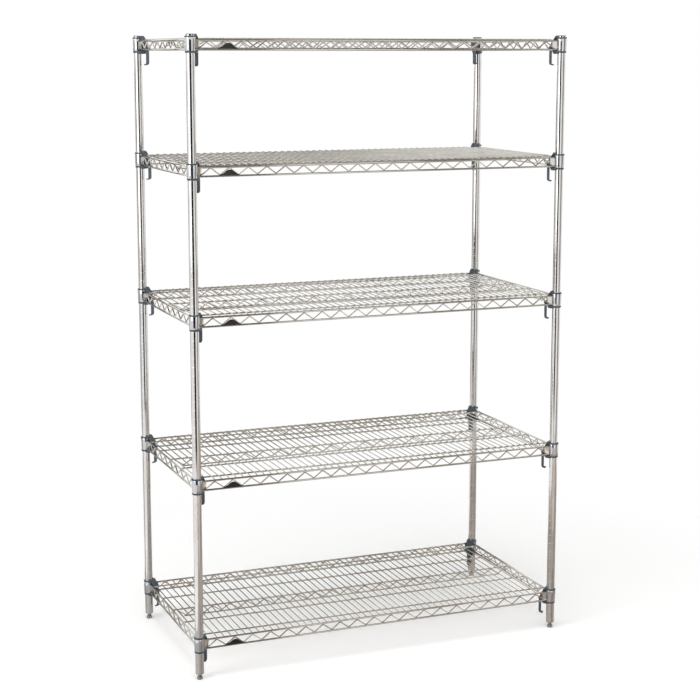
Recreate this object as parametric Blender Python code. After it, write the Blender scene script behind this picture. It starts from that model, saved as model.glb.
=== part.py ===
# Wire shelving rack: four grooved posts, five welded wire shelves, polymer corner sleeves with release
# levers, post caps and levelling feet. Metres, +Z up, origin on the floor under the rack's middle.

import math

import bmesh
import bpy
from mathutils import Matrix, Vector

# Layout: post axes, and the heights that the posts' grooves allow
POST_SPAN_X = 1.179
POST_SPAN_Y = 0.570
GROOVE_PITCH = 0.0254
SHELF_GROOVES = (0, 19, 38, 55, 69)
LOWEST_DECK = 0.1255
POST_ABOVE_TOP_DECK = 0.0063

# Gap between pieces that touch, and depth that welded wires sink into each other
FIT = 0.0003
WELD = 0.0008
STRINGER_WELD = 0.0006

# Posts with their threaded inserts
POST_RADIUS = 0.0127
POST_WALL = 0.0015
INSERT_LENGTH = 0.020

# Post caps
CAP_PLUG_LENGTH = 0.012
CAP_DOME = 0.0036
CAP_CROWN_RADIUS = 0.0105

# Levelling feet
FOOT_HEIGHT = 0.0175
FOOT_BASE_RADIUS = 0.009
FOOT_BASE_HEIGHT = 0.0095
FOOT_CHAMFER = 0.0015
FOOT_NECK_RADIUS = 0.0058
STEM_RADIUS = 0.0048
STEM_LENGTH = 0.042

# Shelf wires and trusses
CROSS_WIRE = 0.0036
CROSS_WIRE_COUNT = 10
RAIL_WIRE = 0.006
STRINGER_WIRE = 0.005
STRINGER_COUNT = 1
TRUSS_DEPTH = 0.027
ZIGZAG_WIRE = 0.004
ZIGZAG_PEAKS_LONG = 7
ZIGZAG_PEAKS_SHORT = 3
CORNER_CLEARANCE = 0.006

# Corner collar of the shelf, and how deep the rails and zigzags are welded into its wall
BAND_WALL = 0.0018
BAND_HEIGHT = 0.0385
RAIL_SEAT = 0.0005
ZIGZAG_SEAT = 0.001

# Corner sleeve: a liner in the collar, with a housing on its inner side that carries the lever
SLEEVE_WALL = 0.0012
RIM_HEIGHT = 0.0045
WEDGE_RISE = 0.0095
HOUSING_TOP = -0.0105
HOUSING_DEPTH = 0.011
LUG_THICKNESS = 0.0026
LUG_REACH = 0.005
BAND_CLEARANCE = 0.0012

# Release lever
LEVER_WIDTH = 0.0095
LEVER_THICKNESS = 0.0065
LEVER_DROP = 0.0535
HOOK_LENGTH = 0.014
EYE_RADIUS = 0.0044
PIVOT_REACH = 0.006
PIVOT_HEIGHT = -0.028
TRUNNION_RADIUS = 0.0022

ROUND_SIDES = 12
TRUNNION_SIDES = 8
MERGE_DISTANCE = 0.00001
SHARP_ANGLE = math.radians(35)

# Name, side along X, side along Y, quarter turns from the front left corner
CORNERS = (
    ("front_left", -1, -1, 0),
    ("front_right", 1, -1, 1),
    ("rear_right", 1, 1, 2),
    ("rear_left", -1, 1, 3),
)

# Heights and radii that follow from the sizes above
deck_heights = [LOWEST_DECK + steps * GROOVE_PITCH for steps in SHELF_GROOVES]
post_top = deck_heights[-1] + POST_ABOVE_TOP_DECK
bore_radius = POST_RADIUS + FIT
sleeve_radius = bore_radius + SLEEVE_WALL
band_inner = sleeve_radius + FIT
band_outer = band_inner + BAND_WALL
rail_end = band_inner + RAIL_SEAT
zigzag_end = band_inner + ZIGZAG_SEAT
top_rail_height = WELD - CROSS_WIRE - RAIL_WIRE / 2
bottom_rail_height = top_rail_height - TRUSS_DEPTH
housing_front = band_outer + HOUSING_DEPTH
pivot = Vector((housing_front + PIVOT_REACH, 0, PIVOT_HEIGHT))
slot_half = LEVER_WIDTH / 2 + FIT
housing_half = slot_half + LUG_THICKNESS
lug_front = pivot.x + LUG_REACH
corner_reach = (lug_front + housing_half) / math.sqrt(2)

# Corner pieces are modelled with +X pointing inward along the shelf's diagonal, then turned by this
DIAGONAL = math.radians(45)


def clear_scene():
    for thing in list(bpy.data.objects):
        bpy.data.objects.remove(thing)


def finish_material(name, colour, metallic, roughness):
    material = bpy.data.materials.new(name)
    material.use_nodes = True
    shader = material.node_tree.nodes["Principled BSDF"]
    shader.inputs["Base Color"].default_value = (*colour, 1)
    shader.inputs["Metallic"].default_value = metallic
    shader.inputs["Roughness"].default_value = roughness
    return material


def turned(profile, sides=ROUND_SIDES, closed=False, start=0.0):
    """Solid of revolution about Z from (radius, height) points."""
    bm = bmesh.new()
    points = []
    for radius, height in profile:
        points.append(bm.verts.new((radius * math.cos(start), radius * math.sin(start), height)))
    ends = points[1:] + points[:1] if closed else points[1:]
    lines = [bm.edges.new(pair) for pair in zip(points, ends)]
    bmesh.ops.spin(
        bm,
        geom=points + lines,
        cent=(0, 0, 0),
        axis=(0, 0, 1),
        angle=math.tau,
        steps=sides,
        use_merge=True,
    )
    bmesh.ops.remove_doubles(bm, verts=bm.verts, dist=MERGE_DISTANCE)
    bmesh.ops.recalc_face_normals(bm, faces=bm.faces)
    return bm


def extruded(outline, low, high):
    """Prism of an outline of (x, z) points, from y = low to y = high."""
    bm = bmesh.new()
    face = bm.faces.new([bm.verts.new((x, low, z)) for x, z in outline])
    grown = bmesh.ops.extrude_face_region(bm, geom=[face])["geom"]
    moved = [item for item in grown if isinstance(item, bmesh.types.BMVert)]
    bmesh.ops.translate(bm, verts=moved, vec=(0, high - low, 0))
    bmesh.ops.recalc_face_normals(bm, faces=bm.faces)
    return bm


def add_box(bm, low, high):
    size = Vector(high) - Vector(low)
    middle = (Vector(high) + Vector(low)) / 2
    place = Matrix.Translation(middle) @ Matrix.Diagonal((*size, 1))
    bmesh.ops.create_cube(bm, size=1, matrix=place)


def add_copy(bm, mesh, place):
    """Add a turned or moved copy of a mesh to bm."""
    copy = mesh.copy()
    copy.transform(place)
    bm.from_mesh(copy)
    bpy.data.meshes.remove(copy)


def mesh_from(bm, name):
    mesh = bpy.data.meshes.new(name)
    bm.to_mesh(mesh)
    bm.free()
    return mesh


def tool_object(bm, name):
    thing = bpy.data.objects.new(name, mesh_from(bm, name))
    bpy.context.scene.collection.objects.link(thing)
    return thing


def combined(name, first, *steps):
    """Mesh of a solid after a chain of (operation, solid) Booleans."""
    base = tool_object(first, name)
    tools = []
    for operation, solid in steps:
        tool = tool_object(solid, name)
        tools.append(tool)
        change = base.modifiers.new(operation.lower(), "BOOLEAN")
        change.operation = operation
        change.solver = "EXACT"
        change.object = tool
    graph = bpy.context.evaluated_depsgraph_get()
    mesh = bpy.data.meshes.new_from_object(base.evaluated_get(graph))
    mesh.name = name
    for used in (base, *tools):
        bpy.data.objects.remove(used)
    return mesh


def place_piece(name, mesh, material, location=(0, 0, 0), turn=0.0, parent=None):
    if material.name not in mesh.materials:
        mesh.materials.clear()
        mesh.materials.append(material)
        mesh.shade_smooth()
        mesh.set_sharp_from_angle(angle=SHARP_ANGLE)
    piece = bpy.data.objects.new(name, mesh)
    piece.location = location
    piece.rotation_euler.z = turn
    piece.parent = parent
    bpy.context.scene.collection.objects.link(piece)
    return piece


def corner_point(side_x, side_y, height=0.0):
    return Vector((side_x * POST_SPAN_X / 2, side_y * POST_SPAN_Y / 2, height))


def post_mesh():
    inside = POST_RADIUS - POST_WALL
    stem_hole = STEM_RADIUS + FIT
    profile = [
        (POST_RADIUS, FOOT_HEIGHT),
        (POST_RADIUS, post_top),
        (inside, post_top),
        (inside, FOOT_HEIGHT + INSERT_LENGTH),
        (stem_hole, FOOT_HEIGHT + INSERT_LENGTH),
        (stem_hole, FOOT_HEIGHT),
    ]
    return mesh_from(turned(profile, closed=True), "post")


def cap_mesh():
    plug = POST_RADIUS - POST_WALL - FIT
    profile = [
        (0, -CAP_PLUG_LENGTH),
        (plug, -CAP_PLUG_LENGTH),
        (plug, FIT),
        (POST_RADIUS, FIT),
        (CAP_CROWN_RADIUS, CAP_DOME),
        (0, CAP_DOME),
    ]
    return mesh_from(turned(profile), "cap")


def foot_mesh():
    neck_top = FOOT_HEIGHT - FIT
    profile = [
        (0, 0),
        (FOOT_BASE_RADIUS - FOOT_CHAMFER, 0),
        (FOOT_BASE_RADIUS, FOOT_CHAMFER),
        (FOOT_BASE_RADIUS, FOOT_BASE_HEIGHT - FOOT_CHAMFER),
        (FOOT_NECK_RADIUS, FOOT_BASE_HEIGHT),
        (FOOT_NECK_RADIUS, neck_top),
        (STEM_RADIUS, neck_top),
        (STEM_RADIUS, neck_top + STEM_LENGTH),
        (0, neck_top + STEM_LENGTH),
    ]
    return mesh_from(turned(profile), "foot")


def zigzag_mesh(length, peaks):
    """Zigzag strip that starts and ends on the bottom rail."""
    half_step = length / peaks / 2
    slope = math.atan2(TRUSS_DEPTH, half_step)
    half_wire = ZIGZAG_WIRE / 2 / math.cos(slope)
    line = []
    for index in range(2 * peaks + 1):
        height = top_rail_height if index % 2 else bottom_rail_height
        line.append((index * half_step - length / 2, height))
    upper = [(x, z + half_wire) for x, z in line]
    lower = [(x, z - half_wire) for x, z in reversed(line)]
    return mesh_from(extruded(upper + lower, -ZIGZAG_WIRE / 2, ZIGZAG_WIRE / 2), "zigzag")


def band_mesh():
    """Corner collar: a ring round the sleeve, open towards the shelf for the sleeve's housing."""
    profile = [
        (band_outer, 0),
        (band_outer, -BAND_HEIGHT),
        (band_inner, -BAND_HEIGHT),
        (band_inner, 0),
    ]
    ring = turned(profile, closed=True, start=-DIAGONAL)
    gap = bmesh.new()
    half_gap = housing_half + BAND_CLEARANCE
    add_box(gap, (0, -half_gap, -2 * BAND_HEIGHT), (2 * band_outer, half_gap, BAND_HEIGHT))
    mesh = combined("band", ring, ("DIFFERENCE", gap))
    mesh.transform(Matrix.Rotation(DIAGONAL, 4, "Z"))
    return mesh


def shelf_mesh():
    half_x = POST_SPAN_X / 2
    half_y = POST_SPAN_Y / 2
    half_rail = RAIL_WIRE / 2
    long_half = half_x - rail_end
    short_half = half_y - rail_end
    stringer_top = STRINGER_WELD - CROSS_WIRE

    along_x = bmesh.new()
    for side in (-1, 1):
        for height in (top_rail_height, bottom_rail_height):
            low = (-long_half, side * half_y - half_rail, height - half_rail)
            high = (long_half, side * half_y + half_rail, height + half_rail)
            add_box(along_x, low, high)
    for index in range(STRINGER_COUNT):
        y = POST_SPAN_Y * ((index + 1) / (STRINGER_COUNT + 1) - 0.5)
        low = (-half_x, y - STRINGER_WIRE / 2, stringer_top - STRINGER_WIRE)
        high = (half_x, y + STRINGER_WIRE / 2, stringer_top)
        add_box(along_x, low, high)

    along_y = bmesh.new()
    for side in (-1, 1):
        for height in (top_rail_height, bottom_rail_height):
            low = (side * half_x - half_rail, -short_half, height - half_rail)
            high = (side * half_x + half_rail, short_half, height + half_rail)
            add_box(along_y, low, high)
    outer_wire = half_x - corner_reach - CROSS_WIRE - CORNER_CLEARANCE
    for index in range(CROSS_WIRE_COUNT):
        x = outer_wire * (2 * index / (CROSS_WIRE_COUNT - 1) - 1)
        low = (x - CROSS_WIRE / 2, -half_y, -CROSS_WIRE)
        high = (x + CROSS_WIRE / 2, half_y, 0)
        add_box(along_y, low, high)

    zigzags = bmesh.new()
    long_strip = zigzag_mesh(POST_SPAN_X - 2 * zigzag_end, ZIGZAG_PEAKS_LONG)
    short_strip = zigzag_mesh(POST_SPAN_Y - 2 * zigzag_end, ZIGZAG_PEAKS_SHORT)
    quarter = Matrix.Rotation(math.radians(90), 4, "Z")
    for side in (-1, 1):
        add_copy(zigzags, long_strip, Matrix.Translation((0, side * half_y, 0)))
        add_copy(zigzags, short_strip, Matrix.Translation((side * half_x, 0, 0)) @ quarter)

    bands = bmesh.new()
    band = band_mesh()
    for name, side_x, side_y, quarters in CORNERS:
        turn = Matrix.Rotation(math.radians(90) * quarters, 4, "Z")
        add_copy(bands, band, Matrix.Translation(corner_point(side_x, side_y)) @ turn)

    return combined("shelf", along_x, ("UNION", along_y), ("UNION", zigzags), ("UNION", bands))


def sleeve_mesh():
    foot = -BAND_HEIGHT - FIT - RIM_HEIGHT
    start = -DIAGONAL
    top = FIT + RIM_HEIGHT
    barrel = turned([(0, foot), (sleeve_radius, foot), (sleeve_radius, top), (0, top)], start=start)
    housing = extruded(
        [
            (0, foot + WELD),
            (housing_front, pivot.z - LUG_REACH),
            (lug_front, pivot.z - LUG_REACH),
            (lug_front, pivot.z + LUG_REACH),
            (housing_front, HOUSING_TOP),
            (bore_radius, WEDGE_RISE),
            (0, WEDGE_RISE),
        ],
        -housing_half,
        housing_half,
    )
    above = 2 * WEDGE_RISE
    below = 2 * foot
    bore = turned([(0, below), (bore_radius, below), (bore_radius, above), (0, above)], start=start)
    slot = bmesh.new()
    add_box(slot, (housing_front, -slot_half, below), (2 * lug_front, slot_half, above))
    half_side = math.pi / TRUNNION_SIDES
    hole_radius = (TRUNNION_RADIUS + FIT) / math.cos(half_side)
    hole = trunnion(hole_radius, 4 * housing_half, half_side)
    bmesh.ops.translate(hole, verts=hole.verts, vec=pivot)
    rail_room = bmesh.new()
    half_room = RAIL_WIRE / 2 + FIT
    add_box(rail_room, (rail_end - FIT, -half_room, below), (2 * lug_front, half_room, 0))
    add_box(rail_room, (-half_room, rail_end - FIT, below), (half_room, 2 * lug_front, 0))
    bmesh.ops.rotate(rail_room, verts=rail_room.verts, matrix=Matrix.Rotation(-DIAGONAL, 3, "Z"))
    mesh = combined(
        "sleeve",
        barrel,
        ("UNION", housing),
        ("DIFFERENCE", slot),
        ("DIFFERENCE", bore),
        ("DIFFERENCE", hole),
        ("DIFFERENCE", rail_room),
    )
    mesh.transform(Matrix.Rotation(DIAGONAL, 4, "Z"))
    return mesh


def trunnion(radius, length, start=0.0):
    """Cylinder along Y, centred on the origin."""
    end = length / 2
    profile = [(0, -end), (radius, -end), (radius, end), (0, end)]
    pin = turned(profile, TRUNNION_SIDES, start=start)
    bmesh.ops.transform(pin, verts=pin.verts, matrix=Matrix.Rotation(math.radians(90), 4, "X"))
    return pin


def lever_mesh():
    """J-shaped lever with its origin on the trunnions' axis."""
    back = -LEVER_THICKNESS / 3
    front = back + LEVER_THICKNESS
    heel = LEVER_THICKNESS - LEVER_DROP
    tip = front - HOOK_LENGTH
    outline = [
        (-EYE_RADIUS, 0),
        (0, EYE_RADIUS),
        (front, 0),
        (front, heel),
        (front - LEVER_THICKNESS / 2, heel - LEVER_THICKNESS / 2),
        (tip, -LEVER_DROP),
        (tip, heel - LEVER_THICKNESS / 2),
        (back, heel + LEVER_THICKNESS / 2),
        (back, -EYE_RADIUS),
    ]
    blade = extruded(outline, -LEVER_WIDTH / 2, LEVER_WIDTH / 2)
    pin = trunnion(TRUNNION_RADIUS, 2 * (housing_half - FIT))
    mesh = combined("lever", blade, ("UNION", pin))
    mesh.transform(Matrix.Rotation(DIAGONAL, 4, "Z"))
    return mesh


def build():
    clear_scene()
    chrome = finish_material("chrome_plate", (0.72, 0.72, 0.71), 1.0, 0.14)
    shelf_chrome = finish_material("shelf_chrome_plate", (0.70, 0.70, 0.68), 1.0, 0.2)
    zinc = finish_material("zinc_plated_foot", (0.55, 0.55, 0.54), 1.0, 0.35)
    cap_finish = finish_material("grey_cap_moulding", (0.30, 0.31, 0.32), 0.0, 0.45)
    sleeve_finish = finish_material("blue_grey_sleeve_moulding", (0.055, 0.065, 0.08), 0.0, 0.5)
    lever_finish = finish_material("blue_grey_lever_moulding", (0.06, 0.07, 0.085), 0.0, 0.45)

    post = post_mesh()
    cap = cap_mesh()
    foot = foot_mesh()
    shelf = shelf_mesh()
    sleeve = sleeve_mesh()
    lever = lever_mesh()
    turned_pivot = Matrix.Rotation(DIAGONAL, 3, "Z") @ pivot

    for name, side_x, side_y, quarters in CORNERS:
        place_piece(f"post_{name}", post, chrome, corner_point(side_x, side_y))
        place_piece(f"cap_{name}", cap, cap_finish, corner_point(side_x, side_y, post_top))
        place_piece(f"foot_{name}", foot, zinc, corner_point(side_x, side_y))

    for number, height in enumerate(deck_heights, 1):
        level = bpy.data.objects.new(f"level_{number}", None)
        level.location.z = height
        bpy.context.scene.collection.objects.link(level)
        place_piece(f"shelf_{number}", shelf, shelf_chrome, parent=level)
        for name, side_x, side_y, quarters in CORNERS:
            turn = quarters * math.radians(90)
            corner = corner_point(side_x, side_y)
            swung = corner + Matrix.Rotation(turn, 3, "Z") @ turned_pivot
            place_piece(f"sleeve_{number}_{name}", sleeve, sleeve_finish, corner, turn, level)
            place_piece(f"lever_{number}_{name}", lever, lever_finish, swung, turn, level)


build()
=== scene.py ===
import math

import bmesh
import bpy
from mathutils import Matrix, Vector


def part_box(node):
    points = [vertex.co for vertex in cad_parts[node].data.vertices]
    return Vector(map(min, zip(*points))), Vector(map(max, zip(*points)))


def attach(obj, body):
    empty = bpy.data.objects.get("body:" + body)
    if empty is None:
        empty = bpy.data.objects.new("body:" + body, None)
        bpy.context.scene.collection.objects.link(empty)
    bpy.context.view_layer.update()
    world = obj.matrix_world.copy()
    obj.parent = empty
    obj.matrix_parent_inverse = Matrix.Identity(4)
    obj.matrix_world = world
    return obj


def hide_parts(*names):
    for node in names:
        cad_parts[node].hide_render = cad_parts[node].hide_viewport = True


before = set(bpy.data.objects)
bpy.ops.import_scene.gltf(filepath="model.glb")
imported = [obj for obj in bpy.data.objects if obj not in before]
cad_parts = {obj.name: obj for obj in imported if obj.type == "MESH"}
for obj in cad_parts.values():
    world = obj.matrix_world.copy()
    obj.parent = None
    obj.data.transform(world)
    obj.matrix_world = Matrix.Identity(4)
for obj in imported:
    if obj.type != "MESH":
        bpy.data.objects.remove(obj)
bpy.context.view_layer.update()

print("frame loaded:", len(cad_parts), "CAD nodes")

scene = bpy.context.scene
quarterTurn = math.radians(90)
cornerNames = ("front_left", "front_right", "rear_right", "rear_left")  # each a quarter turn further round
shelfNumbers = (1, 2, 3, 4, 5)
postAxis = {}
for cornerName in cornerNames:
    low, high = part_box("post_" + cornerName)
    postAxis[cornerName] = Vector(((low.x + high.x) / 2, (low.y + high.y) / 2, 0))
halfX, halfY = postAxis["rear_right"].x, postAxis["rear_right"].y
capThickness = 0.0019  # the plated tube runs up to the cap's thin flange
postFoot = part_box("post_front_left")[0].z
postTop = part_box("cap_front_left")[1].z - capThickness
deckTop = {number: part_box(f"shelf_{number}")[1].z for number in shelfNumbers}


# Colours and node trees

def linear(hexColour):  # sRGB hex to the linear values that Blender wants
    channels = [int(hexColour[i:i + 2], 16) / 255 for i in (1, 3, 5)]
    return tuple(c / 12.92 if c <= 0.04045 else ((c + 0.055) / 1.055) ** 2.4 for c in channels) + (1.0,)


def addNode(tree, kind, inputs=None, **settings):  # one node, its settings, its values and its links
    node = tree.nodes.new("ShaderNode" + kind)
    for name, value in settings.items():
        setattr(node, name, value)
    for name, value in (inputs or {}).items():
        if isinstance(value, bpy.types.NodeSocket):
            tree.links.new(value, node.inputs[name])
        else:
            node.inputs[name].default_value = value
    return node


def newMaterial(name):  # the material, its tree, its shader and the piece's own coordinates in metres
    material = bpy.data.materials.new(name)
    material.use_nodes = True
    tree = material.node_tree
    shader = tree.nodes["Principled BSDF"]
    place = addNode(tree, "TexCoord").outputs["Object"]
    return material, tree, shader, place


def joinShader(tree, shader, colour, rough, bump):
    tree.links.new(colour, shader.inputs["Base Color"])
    tree.links.new(rough.outputs["Result"], shader.inputs["Roughness"])
    tree.links.new(bump.outputs["Normal"], shader.inputs["Normal"])


def perMetre(sizeMm):  # noise scale that gives blobs of about this size
    return 1000.0 / sizeMm


mixShare, mixFirst, mixSecond, mixResult = 0, 6, 7, 2  # a colour Mix node's sockets, by number
noiseSpan = {"From Min": 0.3, "From Max": 0.7}  # nearly all of a noise's values lie between these

# Bright nickel-chrome plate on steel: a mirror with faint wiping haze and a slow drift of tone.
# Rails are a shade brighter than cross wires, and the collars' wings have a warm reflection painted on
# them.
chromeLooks = {
    "post": {"bright": "#e6e5e4", "dull": "#d9d6d3", "hazeMm": 70, "rough": (0.06, 0.11),
             "peelMm": 9.0, "peel": 0.002},
    "wire": {"bright": "#dddbd5", "dull": "#cbc8c1", "hazeMm": 90, "rough": (0.10, 0.17),
             "peelMm": 6.0, "peel": 0.008},
    "rail": {"bright": "#ebe8e2", "dull": "#dcd8d0", "hazeMm": 90, "rough": (0.10, 0.17),
             "peelMm": 6.0, "peel": 0.008},
    "collar": {"bright": "#d4d5d8", "dull": "#c4c5c8", "hazeMm": 40, "rough": (0.08, 0.15),
               "peelMm": 7.0, "peel": 0.006,
               # painted warm reflection on the wings, faded in between these two radii
               "paintedWarmReflection": "#ddd6cd", "paintedReflectionFrom": 0.0160, "paintedReflectionTo": 0.0185},  # metres out from the post
}
chromePlating = {"drift": (0.35, 0.68), "wipeFiner": 3, "peelHeight": 0.001}  # alike on all four


def chromePlate(name, look):
    plating = chromePlating
    material, tree, shader, place = newMaterial(name)
    haze = addNode(tree, "TexNoise", {"Vector": place, "Scale": perMetre(look["hazeMm"]), "Detail": 4.0})
    tone = addNode(tree, "ValToRGB", {"Fac": haze.outputs["Fac"]})
    tones = (look["dull"], look["bright"])
    for stop, at, hexColour in zip(tone.color_ramp.elements, plating["drift"], tones):
        stop.position, stop.color = at, linear(hexColour)
    wipe = addNode(tree, "TexNoise", {
        "Vector": place, "Scale": perMetre(look["hazeMm"] / plating["wipeFiner"]), "Detail": 6.0})
    rough = addNode(tree, "MapRange", {
        "Value": wipe.outputs["Fac"], **noiseSpan, "To Min": look["rough"][0], "To Max": look["rough"][1]})
    # plating peel, drawn coarser than real
    peel = addNode(tree, "TexNoise", {"Vector": place, "Scale": perMetre(look["peelMm"]), "Detail": 2.0})
    bump = addNode(tree, "Bump", {
        "Height": peel.outputs["Fac"], "Strength": look["peel"], "Distance": plating["peelHeight"]})
    colour = tone.outputs["Color"]
    # painted warm reflection: the wings, out past the band, are tinted warmer
    if "paintedWarmReflection" in look:
        flat = addNode(tree, "VectorMath", {0: place, 1: (1, 1, 0)}, operation="MULTIPLY")
        away = addNode(tree, "VectorMath", {0: flat.outputs["Vector"]}, operation="LENGTH")
        share = addNode(tree, "MapRange", {
            "Value": away.outputs["Value"], "From Min": look["paintedReflectionFrom"], "From Max": look["paintedReflectionTo"]})
        reflectionPainted = addNode(tree, "Mix", {
            mixShare: share.outputs["Result"], mixFirst: colour, mixSecond: linear(look["paintedWarmReflection"])},
            data_type="RGBA")
        colour = reflectionPainted.outputs[mixResult]
    joinShader(tree, shader, colour, rough, bump)
    shader.inputs["Metallic"].default_value = 1.0
    return material


postChrome = chromePlate("chromePlatedRolledTube", chromeLooks["post"])
wireChrome = chromePlate("chromePlatedDrawnWire", chromeLooks["wire"])
railChrome = chromePlate("chromePlatedStraightenedWire", chromeLooks["rail"])
collarChrome = chromePlate("chromePlatedPressedSheet", chromeLooks["collar"])

# Moulded polymers: a fine spark-eroded grain that softens the gloss, paler where edges are rubbed
polymerLooks = {
    "sleeve": {"body": "#37424a", "pale": "#556069", "grainMm": 1.1, "rough": (0.38, 0.56), "grain": 0.18},
    "lever": {"body": "#414b54", "pale": "#606b74", "grainMm": 1.1, "rough": (0.34, 0.50), "grain": 0.15},
    "cap": {"body": "#1d1f21", "pale": "#383b3e", "grainMm": 1.4, "rough": (0.52, 0.68), "grain": 0.12},
    "plate": {"body": "#0d0e0f", "pale": "#222527", "grainMm": 1.6, "rough": (0.30, 0.45), "grain": 0.10},
}
polymerMoulding = {
    "flowMm": 18, "flowSpan": (0.35, 0.7), "flowPale": 0.3,  # faint flow marks
    "rubSpan": (0.52, 0.62), "rubPale": 0.55,  # pointiness of a flat face and of a rubbed edge
    "grainHeight": 0.0004, "ior": 1.53,  # nylon and ABS alike
}


def mouldedPolymer(name, look):
    moulding = polymerMoulding
    material, tree, shader, place = newMaterial(name)
    flow = addNode(tree, "TexNoise", {
        "Vector": place, "Scale": perMetre(moulding["flowMm"]), "Detail": 5.0})
    drift = addNode(tree, "MapRange", {
        "Value": flow.outputs["Fac"],
        "From Min": moulding["flowSpan"][0], "From Max": moulding["flowSpan"][1],
        "To Min": 0.0, "To Max": moulding["flowPale"]})
    edge = addNode(tree, "NewGeometry").outputs["Pointiness"]
    rub = addNode(tree, "MapRange", {
        "Value": edge, "From Min": moulding["rubSpan"][0], "From Max": moulding["rubSpan"][1],
        "To Min": 0.0, "To Max": moulding["rubPale"]})
    share = addNode(tree, "Math", {
        0: rub.outputs["Result"], 1: drift.outputs["Result"]}, operation="ADD", use_clamp=True)
    colour = addNode(tree, "Mix", {
        mixShare: share.outputs[0], mixFirst: linear(look["body"]), mixSecond: linear(look["pale"])},
        data_type="RGBA")
    # grit of 0.1 mm, drawn coarser to show
    grain = addNode(tree, "TexNoise", {"Vector": place, "Scale": perMetre(look["grainMm"]), "Detail": 3.0})
    rough = addNode(tree, "MapRange", {
        "Value": grain.outputs["Fac"], **noiseSpan, "To Min": look["rough"][0], "To Max": look["rough"][1]})
    bump = addNode(tree, "Bump", {
        "Height": grain.outputs["Fac"], "Strength": look["grain"], "Distance": moulding["grainHeight"]})
    joinShader(tree, shader, colour.outputs[mixResult], rough, bump)
    shader.inputs["IOR"].default_value = moulding["ior"]
    return material


sleevePolymer = mouldedPolymer("glassFilledNylonMoulded", polymerLooks["sleeve"])
leverPolymer = mouldedPolymer("acetalMoulded", polymerLooks["lever"])
capPolymer = mouldedPolymer("polypropyleneMoulded", polymerLooks["cap"])
platePolymer = mouldedPolymer("absGlossMoulded", polymerLooks["plate"])

# Zinc-plated turned steel: greyer and softer than chrome, with the lathe's fine rings
zincLook = {
    "bright": "#b4b4b2", "dull": "#8a8a88", "drift": (0.32, 0.66), "grainMm": 7, "rough": (0.28, 0.46),
    # tool marks, drawn coarser than real
    "ringMm": 5.6549, "ringWander": 0.6, "ring": 0.06, "ringHeight": 0.0003,
}
waveRadians = 20  # a wave texture turns this far for each unit of its scale


def turnedZinc(name, look):
    material, tree, shader, place = newMaterial(name)
    spangle = addNode(tree, "TexNoise", {
        "Vector": place, "Scale": perMetre(look["grainMm"]), "Detail": 6.0})
    tone = addNode(tree, "ValToRGB", {"Fac": spangle.outputs["Fac"]})
    tones = (look["dull"], look["bright"])
    for stop, at, hexColour in zip(tone.color_ramp.elements, look["drift"], tones):
        stop.position, stop.color = at, linear(hexColour)
    rough = addNode(tree, "MapRange", {
        "Value": spangle.outputs["Fac"], **noiseSpan,
        "To Min": look["rough"][0], "To Max": look["rough"][1]})
    ringScale = math.tau * perMetre(look["ringMm"]) / waveRadians
    rings = addNode(tree, "TexWave", {
        "Vector": place, "Scale": ringScale, "Distortion": look["ringWander"]}, bands_direction="Z")
    bump = addNode(tree, "Bump", {
        "Height": rings.outputs["Fac"], "Strength": look["ring"], "Distance": look["ringHeight"]})
    joinShader(tree, shader, tone.outputs["Color"], rough, bump)
    shader.inputs["Metallic"].default_value = 1.0
    return material


zincSteel = turnedZinc("zincPlatedTurnedSteel", zincLook)
print("materials made")


# Mesh tools

facing = 0.9  # a normal with more than this along Y faces the front or the back
wireEnd = {"ease": 0.4, "narrow": 0.72}  # an eased cut's length and end, as shares of the wire's radius


def turnProfile(profile, segments, closed=False):  # (radius, height) points spun about Z
    bm = bmesh.new()
    rings = []
    for radius, height in profile:
        count = 1 if radius == 0 else segments
        ring = []
        for k in range(count):
            angle = math.tau * k / count
            ring.append(bm.verts.new((radius * math.cos(angle), radius * math.sin(angle), height)))
        rings.append(ring)
    pairs = list(zip(rings, rings[1:]))
    if closed:
        pairs.append((rings[-1], rings[0]))
    for lower, upper in pairs:
        for k in range(segments):
            around = [lower[k % len(lower)], lower[(k + 1) % len(lower)],
                      upper[(k + 1) % len(upper)], upper[k % len(upper)]]
            bm.faces.new(list(dict.fromkeys(around)))  # a point on the axis counts once
    return bm


def loftSections(bm, sections):  # closed skin through outlines of equal length
    rings = [[bm.verts.new(point) for point in section] for section in sections]
    count = len(rings[0])
    for lower, upper in zip(rings, rings[1:]):
        for k in range(count):
            bm.faces.new((lower[k], lower[(k + 1) % count], upper[(k + 1) % count], upper[k]))
    bm.faces.new(list(reversed(rings[0])))
    bm.faces.new(rings[-1])


def sweepWire(bm, path, radius, sides):  # round wire along points, with its cut ends eased
    ease = radius * wireEnd["ease"]
    first, last = path[0], path[-1]
    inFirst = first + (path[1] - first).normalized() * ease
    inLast = last + (path[-2] - last).normalized() * ease
    line = [first, inFirst] + list(path[1:-1]) + [inLast, last]
    side = None
    sections = []
    for k, point in enumerate(line):
        tangent = (line[min(k + 1, len(line) - 1)] - line[max(k - 1, 0)]).normalized()
        side = tangent.orthogonal() if side is None else side - tangent * side.dot(tangent)
        side.normalize()
        other = tangent.cross(side)
        reach = radius * wireEnd["narrow"] if k in (0, len(line) - 1) else radius
        section = []
        for s in range(sides):
            angle = math.tau * s / sides
            section.append(point + reach * (math.cos(angle) * side + math.sin(angle) * other))
        sections.append(section)
    loftSections(bm, sections)


def roundCorners(points, bend, steps):  # eases each inner corner of an open line
    line = [points[0]]
    for before, corner, after in zip(points, points[1:], points[2:]):
        start = corner + (before - corner).normalized() * bend
        end = corner + (after - corner).normalized() * bend
        for k in range(steps + 1):
            t = k / steps
            line.append((1 - t) ** 2 * start + 2 * t * (1 - t) * corner + t * t * end)
    return line + [points[-1]]


def extrudeOutline(bm, outline, low, high):  # (x, z) outline, from y = low to y = high
    loftSections(bm, [[Vector((x, y, z)) for x, z in outline] for y in (low, high)])


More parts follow.
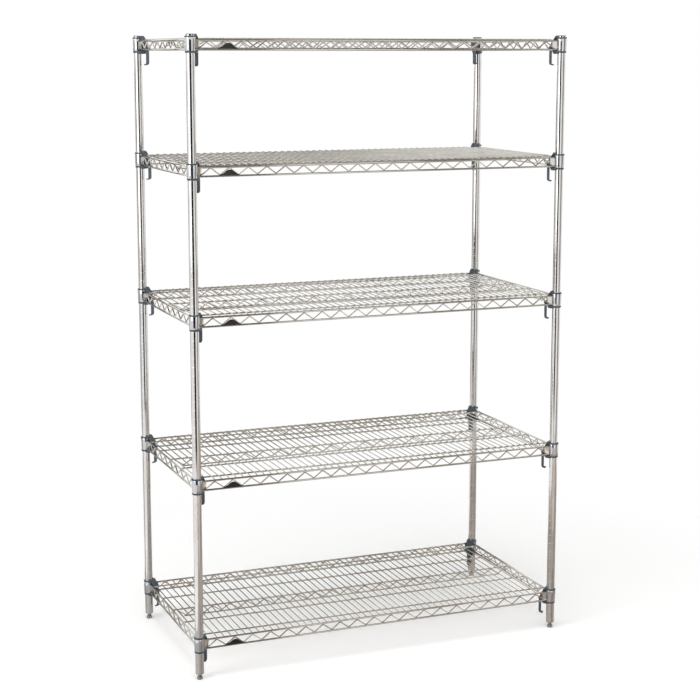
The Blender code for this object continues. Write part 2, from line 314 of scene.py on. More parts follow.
def bevelSharp(bm, width, segments, angle):  # eases the edges that turn by more than so many degrees
    bmesh.ops.recalc_face_normals(bm, faces=bm.faces)
    sharp = [e for e in bm.edges if len(e.link_faces) == 2 and e.calc_face_angle() > math.radians(angle)]
    bmesh.ops.bevel(bm, geom=sharp, offset=width, segments=segments, affect="EDGES", profile=0.5,
                    clamp_overlap=True)


def smoothMesh(mesh, sharp):  # smooth, with creases kept where faces turn by more than so many degrees
    mesh.shade_smooth()
    mesh.set_sharp_from_angle(angle=math.radians(sharp))


def meshFrom(bm, name, sharp=35):
    bmesh.ops.recalc_face_normals(bm, faces=bm.faces)
    mesh = bpy.data.meshes.new(name)
    bm.to_mesh(mesh)
    bm.free()
    smoothMesh(mesh, sharp)
    return mesh


def carveMesh(name, base, steps, sharp):  # chain of ("UNION" or "DIFFERENCE", bmesh)
    blocks = []
    for bm in [base] + [bm for operation, bm in steps]:
        block = bpy.data.objects.new(name, meshFrom(bm, name))
        scene.collection.objects.link(block)
        blocks.append(block)
    for (operation, bm), tool in zip(steps, blocks[1:]):
        cut = blocks[0].modifiers.new(operation, "BOOLEAN")
        cut.operation, cut.solver, cut.object = operation, "EXACT", tool
    graph = bpy.context.evaluated_depsgraph_get()
    mesh = bpy.data.meshes.new_from_object(blocks[0].evaluated_get(graph))
    for block in blocks:
        bpy.data.objects.remove(block)
    mesh.name = name
    smoothMesh(mesh, sharp)
    return mesh


def placePiece(name, mesh, finish, place, body, standsFor=()):
    if not mesh.materials:
        mesh.materials.append(finish)
    piece = bpy.data.objects.new(name, mesh)
    scene.collection.objects.link(piece)
    piece.matrix_world = place
    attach(piece, body)
    if standsFor:
        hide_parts(*standsFor)


def cornerPlace(cornerName, height):  # corner pieces are made with X and Y along the two rails, inward
    turn = Matrix.Rotation(quarterTurn * cornerNames.index(cornerName), 4, "Z")
    return Matrix.Translation(postAxis[cornerName] + Vector((0, 0, height))) @ turn


# Sleeves and levers are drawn with X along the inward diagonal
toDiagonal = Matrix.Rotation(quarterTurn / 2, 4, "Z")


# Posts: rolled tube, a shallow groove every 25.4 mm, a threaded insert in the foot end

groovedPost = {
    "radius": 0.0127, "bore": 0.0112, "ease": 0.0006, "segments": 32,
    "groovePitch": 0.0254, "grooveBelowDeck": 0.0193, "groovesBelowShelf": 3, "plainTop": 0.006,
    "grooveDepth": 0.00014, "grooveHalf": 0.0004,
    # shares of the half width and of the depth, inward; the first two rings keep the plain tube flat
    "grooveLine": [(2.2, 0), (1.35, 0), (1, 0.08), (0.5, 0.62)],
    "insertBore": 0.0051, "insertLength": 0.020, "insertSink": 0.0002, "insertEase": 0.0006,
    "tubeLip": 0.0004,
}
post = groovedPost
grooveLine = [(-along, cut) for along, cut in post["grooveLine"]] + [(0, 1)] + post["grooveLine"][::-1]
outside = [(post["radius"] - post["ease"], postFoot), (post["radius"], postFoot + post["ease"])]
grooveHeight = deckTop[1] - post["grooveBelowDeck"] - post["groovesBelowShelf"] * post["groovePitch"]
while grooveHeight < postTop - post["plainTop"]:
    for along, cut in grooveLine:
        radius = post["radius"] - cut * post["grooveDepth"]
        outside.append((radius, grooveHeight + along * post["grooveHalf"]))
    grooveHeight += post["groovePitch"]
outside += [(post["radius"], postTop - post["ease"]), (post["radius"] - post["ease"], postTop)]
insertTop, insertFoot = postFoot + post["insertLength"], postFoot + post["insertSink"]
inside = [
    (post["bore"], postTop), (post["bore"], insertTop), (post["insertBore"], insertTop),
    (post["insertBore"], insertFoot + post["insertEase"]),
    (post["insertBore"] + post["insertEase"], insertFoot),
    (post["bore"] - post["tubeLip"], insertFoot), (post["bore"], postFoot),
]
postMesh = meshFrom(turnProfile(outside + inside, post["segments"], closed=True), "groovedPost")
for cornerName in cornerNames:
    placePiece("groovedPost_" + cornerName, postMesh, postChrome, Matrix.Translation(postAxis[cornerName]),
               "rack_posts", ["post_" + cornerName])
print("posts made:", len(postMesh.polygons), "faces each")


# Caps: plugs with a thin, slightly domed flange

domedCap = {
    "plug": 0.0109, "plugLength": 0.012, "plugEase": 0.0006, "segments": 32, "sharp": 50,
    "flange": 0.0127, "flangeEase": 0.0002, "gap": 0.0002, "edge": 0.0015, "dome": capThickness,
    "crownSteps": 8, "crownPower": 0.6,
}
cap = domedCap
profile = [
    (0, -cap["plugLength"]), (cap["plug"] - cap["plugEase"], -cap["plugLength"]),
    (cap["plug"], cap["plugEase"] - cap["plugLength"]), (cap["plug"], cap["gap"]),
    (cap["flange"] - cap["flangeEase"], cap["gap"]), (cap["flange"], cap["gap"] + cap["flangeEase"]),
    (cap["flange"], cap["edge"]),
]
for k in range(1, cap["crownSteps"]):  # flattened quarter ellipse up to the crown
    angle = quarterTurn * k / cap["crownSteps"]
    rise = cap["edge"] + (cap["dome"] - cap["edge"]) * math.sin(angle)
    profile.append((cap["flange"] * math.cos(angle) ** cap["crownPower"], rise))
profile.append((0, cap["dome"]))
capMesh = meshFrom(turnProfile(profile, cap["segments"]), "domedCap", cap["sharp"])
for cornerName in cornerNames:
    place = Matrix.Translation(postAxis[cornerName] + Vector((0, 0, postTop)))
    placePiece("domedCap_" + cornerName, capMesh, capPolymer, place,
               "rack_posts", ["cap_" + cornerName])


# Levelling feet: rounded base, hexagon for the spanner, threaded stem

levellingFoot = {
    "base": [(0, 0), (0.0070, 0), (0.0080, 0.0005), (0.0088, 0.0022), (0.0090, 0.0042), (0.0088, 0.0064),
             (0.0079, 0.0084), (0.0064, 0.0094), (0, 0.0095)],
    "hexRadius": 0.0060, "hexLow": 0.0090, "hexHigh": 0.0145, "hexEase": 0.0008, "hexSides": 6,
    "stemRadius": 0.0048, "stemSink": 0.001, "stemTop": 0.0590, "tipEase": 0.0012,
    "threadDepth": 0.0006, "threadPitch": 0.0015,
    "baseSegments": 32, "stemSegments": 20, "sharp": 35,
}
foot = levellingFoot
base = turnProfile(foot["base"], foot["baseSegments"])
hexagon = turnProfile([
    (0, foot["hexLow"]), (foot["hexRadius"], foot["hexLow"]),
    (foot["hexRadius"], foot["hexHigh"] - foot["hexEase"]),
    (foot["hexRadius"] - foot["hexEase"], foot["hexHigh"]), (0, foot["hexHigh"])], foot["hexSides"])
threadRoot = foot["stemRadius"] - foot["threadDepth"]
height = foot["hexHigh"] - foot["stemSink"]
thread = [(0, height)]
while height < foot["stemTop"] - foot["threadPitch"]:
    thread += [(threadRoot, height), (foot["stemRadius"], height + foot["threadPitch"] / 2)]
    height += foot["threadPitch"]
tipRadius = foot["stemRadius"] - foot["tipEase"]
thread += [(threadRoot, height), (tipRadius, foot["stemTop"]), (0, foot["stemTop"])]
stem = turnProfile(thread, foot["stemSegments"])
footMesh = carveMesh("levellingFoot", base, [("UNION", hexagon), ("UNION", stem)], foot["sharp"])
for cornerName in cornerNames:
    placePiece("levellingFoot_" + cornerName, footMesh, zincSteel, Matrix.Translation(postAxis[cornerName]),
               f"foot_{cornerName}_screw", ["foot_" + cornerName])
print("caps and feet made")


# Shelves: wires laid front to back on rails and stringers, with zigzag trusses round the edge and
# along the middle. Heights are from the top of the deck.

shelfWires = {
    "crossRadius": 0.0018, "crossSides": 10, "crossCount": 54, "crossOuter": 0.579, "crossPast": 0.0010,
    "shortEachSide": 2, "shortPast": 0.002,  # short ones stop at the outer stringers, clear of the sleeves
    "dip": 0.0022, "dipLength": 0.010,  # ends are pressed down onto the wire below by the weld
    "dipLine": [(0, 1), (0.35, 0.78), (0.65, 0.22), (1, 0)],  # shares of the length and of the dip
    "railRadius": 0.003, "railSides": 14, "topRail": -0.0058, "bottomRail": -0.0328, "railStart": 0.0152,
    "stringerRadius": 0.0024, "stringerSides": 12, "stringerHeight": -0.0056,
    "stringerRows": (0.118, 0.2405), "stringerInset": 0.001,
    "zigzagRadius": 0.002, "zigzagSides": 9, "zigzagTop": -0.0088, "zigzagBottom": -0.0298,
    "bend": 0.0046, "bendSteps": 4, "firstPeak": 0.054, "longPeaks": 20, "shortPeaks": 9,
    "middleLow": -0.0290, "middleEnd": 0.5755, "middleSteps": 20, "middleGap": 0.0028, "middlePast": 0.006,
}
wires = shelfWires
deck = bmesh.new()
for k in range(wires["crossCount"]):
    x = wires["crossOuter"] * (2 * k / (wires["crossCount"] - 1) - 1)
    if min(k, wires["crossCount"] - 1 - k) < wires["shortEachSide"]:
        reach = wires["stringerRows"][-1] + wires["shortPast"]
    else:
        reach = halfY + wires["crossPast"]
    rear = [Vector((x, reach - along * wires["dipLength"], -wires["crossRadius"] - drop * wires["dip"]))
            for along, drop in wires["dipLine"]]
    front = [Vector((x, -point.y, point.z)) for point in rear]
    sweepWire(deck, front + rear[::-1], wires["crossRadius"], wires["crossSides"])
deckMesh = meshFrom(deck, "crossWires")

truss = bmesh.new()
longEnd, shortEnd = halfX - wires["railStart"], halfY - wires["railStart"]
stringerEnd = halfX - wires["stringerInset"]
for side in (-1, 1):
    for height in (wires["topRail"], wires["bottomRail"]):
        longRail = [Vector((end, side * halfY, height)) for end in (-longEnd, longEnd)]
        shortRail = [Vector((side * halfX, end, height)) for end in (-shortEnd, shortEnd)]
        for rail in (longRail, shortRail):
            sweepWire(truss, rail, wires["railRadius"], wires["railSides"])
    for row in wires["stringerRows"]:
        height = wires["stringerHeight"]
        stringer = [Vector((end, side * row, height)) for end in (-stringerEnd, stringerEnd)]
        sweepWire(truss, stringer, wires["stringerRadius"], wires["stringerSides"])


# A zigzag starts and ends half a step outside its outer peaks
def layZigzag(bm, outerPeak, peaks, endHeight, peakHeight, place):
    step = 2 * outerPeak / (peaks - 1)
    line = []
    for k in range(2 * peaks + 1):
        along = -outerPeak + step * (k - 1) / 2
        line.append(place @ Vector((along, 0, peakHeight if k % 2 else endHeight)))
    sweepWire(bm, roundCorners(line, wires["bend"], wires["bendSteps"]), wires["zigzagRadius"],
              wires["zigzagSides"])


turnToSide = Matrix.Rotation(quarterTurn, 4, "Z")
edgeHeights = (wires["zigzagBottom"], wires["zigzagTop"])
for side in (-1, 1):
    layZigzag(truss, halfX - wires["firstPeak"], wires["longPeaks"], *edgeHeights,
              Matrix.Translation((0, side * halfY, 0)))
    layZigzag(truss, halfY - wires["firstPeak"], wires["shortPeaks"], *edgeHeights,
              Matrix.Translation((side * halfX, 0, 0)) @ turnToSide)
lowEnd = wires["middleEnd"] - wires["middleEnd"] / wires["middleSteps"]  # half a step in from the end
layZigzag(truss, lowEnd, wires["middleSteps"], wires["stringerHeight"] - wires["middleGap"],
          wires["middleLow"] + wires["middleGap"], Matrix.Identity(4))
lowReach = lowEnd + wires["middlePast"]
for reach, height in ((stringerEnd, wires["stringerHeight"]), (lowReach, wires["middleLow"])):
    sweepWire(truss, [Vector((end, 0, height)) for end in (-reach, reach)], wires["stringerRadius"],
              wires["stringerSides"])
trussMesh = meshFrom(truss, "trussWires")
for number in shelfNumbers:
    place = Matrix.Translation((0, 0, deckTop[number]))
    body = f"shelf_{number}_body"
    placePiece(f"crossWires_{number}", deckMesh, wireChrome, place, body)
    placePiece(f"trussWires_{number}", trussMesh, railChrome, place, body,
               [f"shelf_{number}"])
print("shelf wires made:", len(deckMesh.polygons) + len(trussMesh.polygons), "faces each shelf")


# Collars: pressed band round the sleeve, open inward, with a dished wing plate between the rails each way

cornerCollar = {
    "levels": [  # height, inner radius, outer radius
        (-0.0376, 0.01350, 0.01455), (-0.0280, 0.01385, 0.01500),
        (-0.0150, 0.01420, 0.01535), (0.0008, 0.01455, 0.01570)],
    "openFrom": 9, "openTo": 81, "steps": 40,  # degrees from one rail towards the other
    "ease": 0.0004, "easeSegments": 2, "easeAngle": 40, "sharp": 30,
    "wing": [(0.0140, -0.0062), (0.0312, -0.0062), (0.0308, -0.0120), (0.0290, -0.0270),
             (0.0272, -0.0318), (0.0225, -0.0345), (0.0140, -0.0352)],
    "wingRoot": 0.0150, "wingOffset": 0.0002, "wingLean": 18, "wingHalf": 0.0011,
    "wingEase": 0.0003, "wingEaseSegments": 1, "wingEaseAngle": 60,
    "dishInset": 0.0019, "dishDepth": 0.0005,
}
collar = cornerCollar
closedPart = 360 - collar["openTo"] + collar["openFrom"]
arc = [math.radians(collar["openTo"] + closedPart * k / collar["steps"])
       for k in range(collar["steps"] + 1)]
sections = []
for height, inner, outer in collar["levels"]:
    there = [Vector((outer * math.cos(a), outer * math.sin(a), height)) for a in arc]
    back = [Vector((inner * math.cos(a), inner * math.sin(a), height)) for a in reversed(arc)]
    sections.append(there + back)
band = bmesh.new()
loftSections(band, sections)
bevelSharp(band, collar["ease"], collar["easeSegments"], collar["easeAngle"])
sheet = bmesh.new()
extrudeOutline(sheet, collar["wing"], -collar["wingHalf"], collar["wingHalf"])
bmesh.ops.recalc_face_normals(sheet, faces=sheet.faces)
dished = [face for face in sheet.faces if abs(face.normal.y) > facing]
bmesh.ops.inset_individual(sheet, faces=dished, thickness=collar["dishInset"], depth=-collar["dishDepth"])
bevelSharp(sheet, collar["wingEase"], collar["wingEaseSegments"], collar["wingEaseAngle"])
wing = meshFrom(sheet, "wing")
wing.transform(Matrix.Translation((collar["wingRoot"], collar["wingOffset"], 0))
               @ Matrix.Rotation(math.radians(collar["wingLean"]), 4, "Z")
               @ Matrix.Translation((-collar["wingRoot"], 0, 0)))
band.from_mesh(wing)
swapXY = Matrix(((0, 1, 0, 0), (1, 0, 0, 0), (0, 0, 1, 0), (0, 0, 0, 1)))  # mirrors it for the other rail
wing.transform(swapXY)
band.from_mesh(wing)
collarMesh = meshFrom(band, "cornerCollar", collar["sharp"])
bpy.data.meshes.remove(wing)
for number in shelfNumbers:
    for cornerName in cornerNames:
        placePiece(f"cornerCollar_{number}_{cornerName}", collarMesh, collarChrome,
                   cornerPlace(cornerName, deckTop[number]), f"shelf_{number}_body")


# Sleeves: liner with a rim above and below the collar, and a wedge-shaped housing whose lugs hold the lever

cornerSleeve = {
    "barrel": [(0, -0.0428), (0.0136, -0.0428), (0.0143, -0.0422), (0.0148, -0.0410), (0.0150, -0.0388),
               (0.0148, -0.0379), (0.0133, -0.0379), (0.0143, 0.0010), (0.0158, 0.0010), (0.0161, 0.0016),
               (0.0160, 0.0036), (0.0155, 0.0044), (0.0148, 0.0048), (0, 0.0048)],
    "bore": [(0, -0.0550), (0.0135, -0.0550), (0.0135, -0.0430), (0.0130, -0.0422), (0.0130, 0.0300),
             (0, 0.0300)],
    "segments": 40, "sharp": 30,
    "levels": [  # height, front, half widths at the band, at the middle and at the front
        (-0.0458, 0.0214, 0.0112, 0.0104, 0.0080), (-0.0446, 0.0232, 0.0130, 0.0120, 0.0096),
        (-0.0425, 0.0248, 0.0138, 0.0128, 0.0108), (-0.0372, 0.0264, 0.0140, 0.0132, 0.0118),
        (-0.0362, 0.0265, 0.0136, 0.0130, 0.0119), (-0.0356, 0.0265, 0.0078, 0.0124, 0.0120),
        (-0.0330, 0.0266, 0.0076, 0.0124, 0.0122), (-0.0220, 0.0276, 0.0078, 0.0128, 0.0138),
        (-0.0130, 0.0288, 0.0078, 0.0132, 0.0156), (-0.0112, 0.0287, 0.0078, 0.0132, 0.0158),
        (-0.0060, 0.0252, 0.0078, 0.0130, 0.0152), (0.0006, 0.0212, 0.0078, 0.0124, 0.0143),
        (0.0014, 0.0207, 0.0128, 0.0136, 0.0142), (0.0060, 0.0181, 0.0126, 0.0130, 0.0132),
        (0.0092, 0.0164, 0.0121, 0.0124, 0.0125), (0.0098, 0.0157, 0.0117, 0.0119, 0.0120)],
    "back": 0.0060, "middle": 0.0190, "middleGap": 0.0020, "frontEase": 0.0012,
    "pivot": (0.0333, -0.0280), "pinHole": 0.0025, "pinReach": 0.020, "pinSegments": 24,
    "lugRadius": 0.0050, "lugInner": 0.00505, "lugOuter": 0.00765,
    "lugRoot": [(0.0230, -0.0400), (0.0230, -0.0130)],
    "noseFrom": 115, "noseStep": 15, "noseSteps": 15,  # degrees round the pivot
    "lugEase": 0.0004, "lugEaseSegments": 2, "lugEaseAngle": 50,
    "panel": [(0.0267, -0.0088), (0.0184, 0.0040), (0.0202, 0.0052), (0.0285, -0.0076)],
    "panelHalf": 0.0085,
    "saddleRadius": 0.0126, "saddleHeight": 0.0191, "saddleLength": 0.030, "saddleSegments": 36,
}
sleeve = cornerSleeve
pivotX, pivotZ = sleeve["pivot"]
acrossPivot = Matrix.Translation((pivotX, 0, pivotZ)) @ Matrix.Rotation(quarterTurn, 4, "X")
sections = []
for height, front, atBand, atMiddle, atFront in sleeve["levels"]:
    middle = min(sleeve["middle"], front - sleeve["middleGap"])
    half = [(sleeve["back"], atBand), (middle, atMiddle), (front - sleeve["frontEase"], atFront),
            (front, atFront - sleeve["frontEase"])]
    plan = [(x, -y) for x, y in half] + [(x, y) for x, y in reversed(half)]
    sections.append([Vector((x, y, height)) for x, y in plan])
housing = bmesh.new()
loftSections(housing, sections)
lugOutline = list(sleeve["lugRoot"])
for k in range(sleeve["noseSteps"] + 1):
    angle = math.radians(sleeve["noseFrom"] - sleeve["noseStep"] * k)
    across, up = sleeve["lugRadius"] * math.cos(angle), sleeve["lugRadius"] * math.sin(angle)
    lugOutline.append((pivotX + across, pivotZ + up))
lugs = bmesh.new()
for side in (-1, 1):
    near, far = sorted((side * sleeve["lugInner"], side * sleeve["lugOuter"]))
    extrudeOutline(lugs, lugOutline, near, far)
bevelSharp(lugs, sleeve["lugEase"], sleeve["lugEaseSegments"], sleeve["lugEaseAngle"])
panel = bmesh.new()
extrudeOutline(panel, sleeve["panel"], -sleeve["panelHalf"], sleeve["panelHalf"])


def rodCutter(radius, low, high, segments, place):  # plain cylinder along the place's own Z
    bm = turnProfile([(0, low), (radius, low), (radius, high), (0, high)], segments)
    bmesh.ops.transform(bm, verts=bm.verts, matrix=place)
    return bm


pinHole = rodCutter(sleeve["pinHole"], -sleeve["pinReach"], sleeve["pinReach"], sleeve["pinSegments"],
                    acrossPivot)
overTop = Matrix.Translation((0, 0, sleeve["saddleHeight"])) @ Matrix.Rotation(quarterTurn, 4, "Y")
saddle = rodCutter(sleeve["saddleRadius"], 0, sleeve["saddleLength"], sleeve["saddleSegments"], overTop)
barrel = turnProfile(sleeve["barrel"], sleeve["segments"])
bore = turnProfile(sleeve["bore"], sleeve["segments"])
sleeveMesh = carveMesh("cornerSleeve", barrel, [
    ("UNION", housing), ("UNION", lugs), ("DIFFERENCE", bore), ("DIFFERENCE", pinHole),
    ("DIFFERENCE", panel), ("DIFFERENCE", saddle)], sleeve["sharp"])
sleeveMesh.transform(toDiagonal)


# Levers: J-shaped, hung on two trunnions, with a flared finger hook

releaseLever = {
    "eye": 0.0044, "eyeHalf": 0.00475, "eyeEase": 0.0005, "eyeSegments": 28,
    "trunnion": 0.0022, "trunnionHalf": 0.0074, "trunnionEase": 0.0003, "trunnionSegments": 24,
    "stem": [  # x, height, thickness, half width
        (0.0342, -0.0262, 0.0058, 0.00460), (0.0343, -0.0350, 0.0064, 0.00475),
        (0.0343, -0.0410, 0.0062, 0.00560), (0.0343, -0.0470, 0.0062, 0.00580),
        (0.0343, -0.0600, 0.0060, 0.00580), (0.0343, -0.0700, 0.0060, 0.00580)],
    "hookMiddle": (0.0293, -0.0730), "hookRadius": 0.0050, "hookTurn": 80, "hookSteps": 6,
    "hookThickness": 0.0060, "hookHalf": 0.0058, "hookFlare": 0.0003, "tipThickness": 0.0040,
    "tip": [  # across and down from the hook's end, share of the thickness, half width
        (-0.0030, -0.0005, 1.0, 0.0061), (-0.0056, -0.0010, 0.85, 0.0055), (-0.0064, -0.0011, 0.5, 0.0055)],
    "ease": 0.0009, "sharp": 40,
}
lever = releaseLever


def crossPin(radius, half, ease, segments):  # eased cylinder across the lever, on its pivot
    bm = turnProfile([(0, -half), (radius - ease, -half), (radius, ease - half),
                      (radius, half - ease), (radius - ease, half), (0, half)], segments)
    bmesh.ops.transform(bm, verts=bm.verts, matrix=acrossPivot)
    return bm


eye = crossPin(lever["eye"], lever["eyeHalf"], lever["eyeEase"], lever["eyeSegments"])
trunnions = crossPin(lever["trunnion"], lever["trunnionHalf"], lever["trunnionEase"],
                     lever["trunnionSegments"])
stations = [(Vector((x, 0, z)), thick, half) for x, z, thick, half in lever["stem"]]
hookX, hookZ = lever["hookMiddle"]
for k in range(1, lever["hookSteps"] + 1):
    share = k / lever["hookSteps"]
    angle = -math.radians(lever["hookTurn"]) * share
    across, up = lever["hookRadius"] * math.cos(angle), lever["hookRadius"] * math.sin(angle)
    middle = Vector((hookX + across, 0, hookZ + up))
    thick = lever["hookThickness"] + (lever["tipThickness"] - lever["hookThickness"]) * share
    stations.append((middle, thick, lever["hookHalf"] + lever["hookFlare"] * share))
hookEnd = stations[-1][0]
for across, down, share, half in lever["tip"]:
    stations.append((hookEnd + Vector((across, 0, down)), lever["tipThickness"] * share, half))
sections = []
for k, (middle, thick, half) in enumerate(stations):
    along = (stations[min(k + 1, len(stations) - 1)][0] - stations[max(k - 1, 0)][0]).normalized()
    out = along.cross(Vector((0, 1, 0)))
    ease = min(lever["ease"], thick / 3)  # a thin tip is eased less
    deep = thick / 2
    outline = [(-deep, ease - half), (-deep, half - ease), (ease - deep, half), (deep - ease, half),
               (deep, half - ease), (deep, ease - half), (deep - ease, -half), (ease - deep, -half)]
    sections.append([middle + out * across + Vector((0, y, 0)) for across, y in outline])
blade = bmesh.new()
loftSections(blade, sections)
leverMesh = carveMesh("releaseLever", blade, [("UNION", eye), ("UNION", trunnions)], lever["sharp"])
leverMesh.transform(toDiagonal)
for number in shelfNumbers:
    for cornerName in cornerNames:
        place = cornerPlace(cornerName, deckTop[number])
        tag = f"{number}_{cornerName}"
        placePiece("cornerSleeve_" + tag, sleeveMesh, sleevePolymer, place,
                   f"shelf_{number}_body", ["sleeve_" + tag])
        placePiece("releaseLever_" + tag, leverMesh, leverPolymer, place,
                   f"lever_{tag}_arm", ["lever_" + tag])
print("corners made:", len(sleeveMesh.polygons), "sleeve faces,", len(leverMesh.polygons), "lever faces")


# Name plates: small black humps with a sunk field, over the second peak of each front zigzag

namePlate = {
    "half": 0.0290, "low": -0.0302, "side": 0.0009,
    "rise": 0.0146, "shoulder": 0.60, "power": 2.2, "steps": 28,  # bell-shaped upper edge
    "back": 0.0019, "thick": 0.0022, "rim": 0.0016, "sink": 0.0004,
    "ease": 0.0004, "easeSegments": 2, "easeAngle": 60,
}
plate = namePlate
outline = []
for k in range(plate["steps"] + 1):
    along = 2 * k / plate["steps"] - 1
    rise = plate["rise"] * math.exp(-(abs(along) / plate["shoulder"]) ** plate["power"])
    outline.append((plate["half"] * along, plate["low"] + plate["side"] + rise))
outline += [(plate["half"], plate["low"]), (-plate["half"], plate["low"])]
bm = bmesh.new()
extrudeOutline(bm, outline, -plate["back"] - plate["thick"], -plate["back"])
bmesh.ops.recalc_face_normals(bm, faces=bm.faces)
field = [face for face in bm.faces if face.normal.y < -facing]
bmesh.ops.inset_region(bm, faces=field, thickness=plate["rim"], depth=-plate["sink"], use_even_offset=True)
bevelSharp(bm, plate["ease"], plate["easeSegments"], plate["easeAngle"])
plateMesh = meshFrom(bm, "namePlate")
peakStep = 2 * (halfX - wires["firstPeak"]) / (wires["longPeaks"] - 1)
for number in shelfNumbers:
    place = Matrix.Translation((wires["firstPeak"] + peakStep - halfX, -halfY, deckTop[number]))
    placePiece(f"namePlate_{number}", plateMesh, platePolymer, place,
               f"shelf_{number}_body")
print("name plates made")


# Studio: pale floor that keeps the shadow, white surround, soft lamps, and cards that only the chrome sees

studio = {
    "ambient": 0.38,
    "floorSize": 60.0, "floorCells": 8, "floorColours": ("#fafafa", "#f7f7f6"), "mottleMm": 400,
    "floorRough": 0.85, "floorGloss": 0.1, "floorLift": 0.27, "fadeFrom": 0.9, "fadeTo": 1.9,
    "lamps": [  # name, place, aimed at, width, height, watts
        ("overhead", (-0.6, -0.8, 4.4), (0, 0, 0.6), 3.2, 2.4, 112),
        ("leftBank", (-4.2, -1.6, 2.0), (0, 0, 0.9), 1.6, 2.6, 34),
        ("rightBank", (3.8, -2.8, 2.2), (0, 0, 0.9), 1.2, 2.4, 12),
    ],
    "uprightCards": [  # name, its two lower corners, low, high, colour
        ("darkFlag", (-2.00, -1.97), (-0.40, -2.56), 0.12, 2.3, "#1c1b18"),
        ("greyRight", (1.59, -2.62), (2.21, -1.04), 0.0, 2.6, "#9c978f"),
        ("brownBehind", (-2.6, 3.0), (0.1, 3.0), 0.0, 1.75, "#8a7e72"),
        ("greyBehind", (0.1, 3.0), (3.0, 3.0), 0.0, 1.60, "#7b817c"),
        ("brownLeft", (-1.03, 0.38), (-0.98, 0.51), 0.0, 1.95, "#36322e"),
    ],
    "levelCards": [  # name, height, corners, colour: a ceiling, and tones of the floor
        ("warmFloor", 0.002, [(-0.60, -0.40), (-1.33, -2.8), (1.2, -3.0), (2.6, -1.6), (2.6, 1.6),
                              (1.0, 1.6), (0.75, -0.40)], "#d8ccc3"),
        ("brownStreak", 0.004, [(-0.86, -1.15), (-1.08, -1.9), (-0.78, -1.95), (-0.68, -1.15)], "#aca198"),
        ("greyFloorRight", 0.004, [(0.85, -1.2), (2.3, -1.9), (2.3, 1.4), (0.85, 1.4)], "#a59f97"),
        ("darkCeiling", 3.3, [(-3.0, -3.6), (3.0, -3.6), (3.0, 1.2), (-3.0, 1.2)], "#443e38"),
        ("nearFloor", 0.003, [(-1.0, -1.35), (1.05, -1.35), (1.05, 0.75), (-1.0, 0.75)], "#b3aaa4"),
        ("paleLeft", 0.005, [(-0.605, -0.30), (-0.605, 0.30), (-1.0, 0.30), (-1.0, -0.95), (-0.86, -0.95)],
         "#c6c7c7"),
        ("brownLeftFoot", 0.005, [(-0.585, -0.30), (-0.43, -0.85), (-0.10, -0.75)], "#968c85"),
        ("paleRightFoot", 0.005, [(0.575, -0.30), (0.18, -0.52), (0.30, -0.72)], "#c6c2bd"),
        ("brownRightFoot", 0.005, [(0.595, -0.30), (0.60, -0.90), (0.90, -0.80)], "#8a807a"),
    ],
}
whiteLight = (1, 1, 1, 1)


def seenWhite(tree):  # 1 for camera, mirror and glass rays, 0 for the light that falls on the object
    path = addNode(tree, "LightPath")
    seen = path.outputs["Is Camera Ray"]
    for kind in ("Is Glossy Ray", "Is Transmission Ray"):
        seen = addNode(tree, "Math", {0: seen, 1: path.outputs[kind]}, operation="MAXIMUM").outputs[0]
    return seen


world = bpy.data.worlds.new("whiteSurround")
scene.world = world
world.use_nodes = True
tree = world.node_tree
level = addNode(tree, "MapRange", {"Value": seenWhite(tree), "To Min": studio["ambient"], "To Max": 1.0})
tree.links.new(level.outputs["Result"], tree.nodes["Background"].inputs["Strength"])
tree.nodes["Background"].inputs["Color"].default_value = whiteLight

# Matt painted floor: takes the shadow near the rack and fades to plain white further out
floorPaint, tree, shader, place = newMaterial("mattPaintedFloor")
mottle = addNode(tree, "TexNoise", {"Vector": place, "Scale": perMetre(studio["mottleMm"]), "Detail": 3.0})
firstTone, secondTone = [linear(hexColour) for hexColour in studio["floorColours"]]
tone = addNode(tree, "Mix", {
    mixShare: mottle.outputs["Fac"], mixFirst: firstTone, mixSecond: secondTone}, data_type="RGBA")
tree.links.new(tone.outputs[mixResult], shader.inputs["Base Color"])
shader.inputs["Roughness"].default_value = studio["floorRough"]
shader.inputs["Specular IOR Level"].default_value = studio["floorGloss"]
seen = seenWhite(tree)
lift = addNode(tree, "Math", {0: seen, 1: studio["floorLift"]}, operation="MULTIPLY")
glow = addNode(tree, "Emission", {"Color": whiteLight, "Strength": lift.outputs[0]})
near = addNode(tree, "AddShader", {0: shader.outputs[0], 1: glow.outputs[0]})
away = addNode(tree, "VectorMath", {0: place}, operation="LENGTH")
fade = addNode(tree, "MapRange", {
    "Value": away.outputs["Value"], "From Min": studio["fadeFrom"], "From Max": studio["fadeTo"]},
    interpolation_type="SMOOTHSTEP")
share = addNode(tree, "Math", {0: seen, 1: fade.outputs["Result"]}, operation="MULTIPLY")
white = addNode(tree, "Emission", {"Color": whiteLight, "Strength": 1.0})
blend = addNode(tree, "MixShader", {0: share.outputs[0], 1: near.outputs[0], 2: white.outputs[0]})
tree.links.new(blend.outputs[0], tree.nodes["Material Output"].inputs["Surface"])

bm = bmesh.new()
bmesh.ops.create_grid(bm, x_segments=studio["floorCells"], y_segments=studio["floorCells"],
                      size=studio["floorSize"] / 2)
floorMesh = meshFrom(bm, "studioFloor")
floorMesh.materials.append(floorPaint)
floor = bpy.data.objects.new("studioFloor", floorMesh)
scene.collection.objects.link(floor)


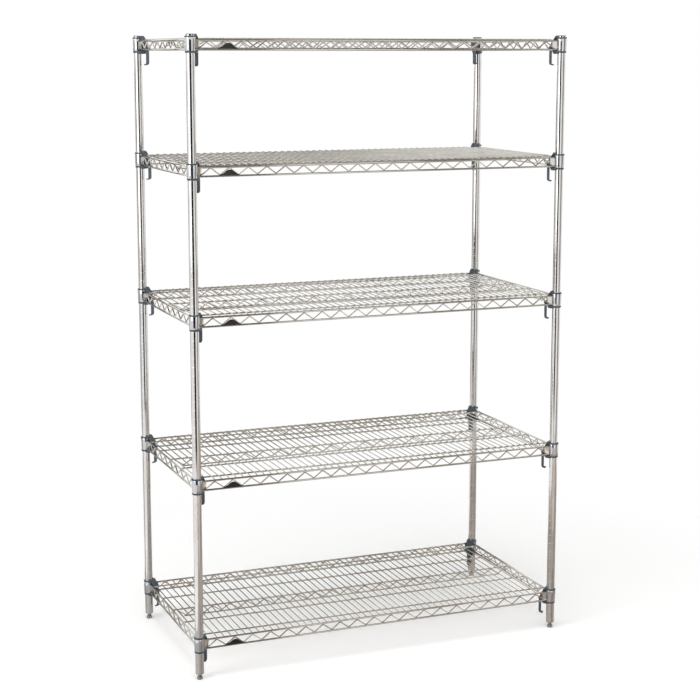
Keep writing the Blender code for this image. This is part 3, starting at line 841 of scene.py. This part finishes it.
def mirrorCard(name, corners, hexColour):  # a card that shows in reflections and nowhere else
    bm = bmesh.new()
    bm.faces.new([bm.verts.new(corner) for corner in corners])
    mesh = meshFrom(bm, name)
    card = bpy.data.objects.new(name + "Card", mesh)
    scene.collection.objects.link(card)
    paint = bpy.data.materials.new(name + "Card")
    paint.use_nodes = True
    tree = paint.node_tree
    tree.nodes.remove(tree.nodes["Principled BSDF"])
    glow = addNode(tree, "Emission", {"Color": linear(hexColour), "Strength": 1.0})
    tree.links.new(glow.outputs[0], tree.nodes["Material Output"].inputs["Surface"])
    mesh.materials.append(paint)
    card.visible_camera = card.visible_diffuse = card.visible_shadow = card.visible_transmission = False


for name, start, end, lowEdge, highEdge, colour in studio["uprightCards"]:
    mirrorCard(name, [(*start, lowEdge), (*end, lowEdge), (*end, highEdge), (*start, highEdge)], colour)
for name, height, corners, colour in studio["levelCards"]:
    mirrorCard(name, [(x, y, height) for x, y in corners], colour)

for name, spot, aim, width, height, watts in studio["lamps"]:
    lamp = bpy.data.lights.new(name, "AREA")
    lamp.shape, lamp.size, lamp.size_y, lamp.energy = "RECTANGLE", width, height, watts
    holder = bpy.data.objects.new(name, lamp)
    scene.collection.objects.link(holder)
    holder.location = spot
    holder.rotation_euler = (Vector(aim) - Vector(spot)).to_track_quat("-Z", "Y").to_euler()
print("studio set")


# Camera in front and to the left, a little below the top shelf; degrees that it turns right and tilts down

photoCamera = {
    "place": (-1.8955, -4.6872, 1.8317), "yaw": 22.092, "tilt": 9.16,
    "lens": 83.198, "sensor": 36.0, "shiftY": -0.05,
}
lens = bpy.data.cameras.new("photoCamera")
lens.lens, lens.sensor_width = photoCamera["lens"], photoCamera["sensor"]
lens.shift_y = photoCamera["shiftY"]
camera = bpy.data.objects.new("photoCamera", lens)
scene.collection.objects.link(camera)
camera.location = photoCamera["place"]
camera.rotation_euler = (math.radians(90 - photoCamera["tilt"]), 0, -math.radians(photoCamera["yaw"]))
scene.camera = camera
scene.view_settings.view_transform = "Standard"
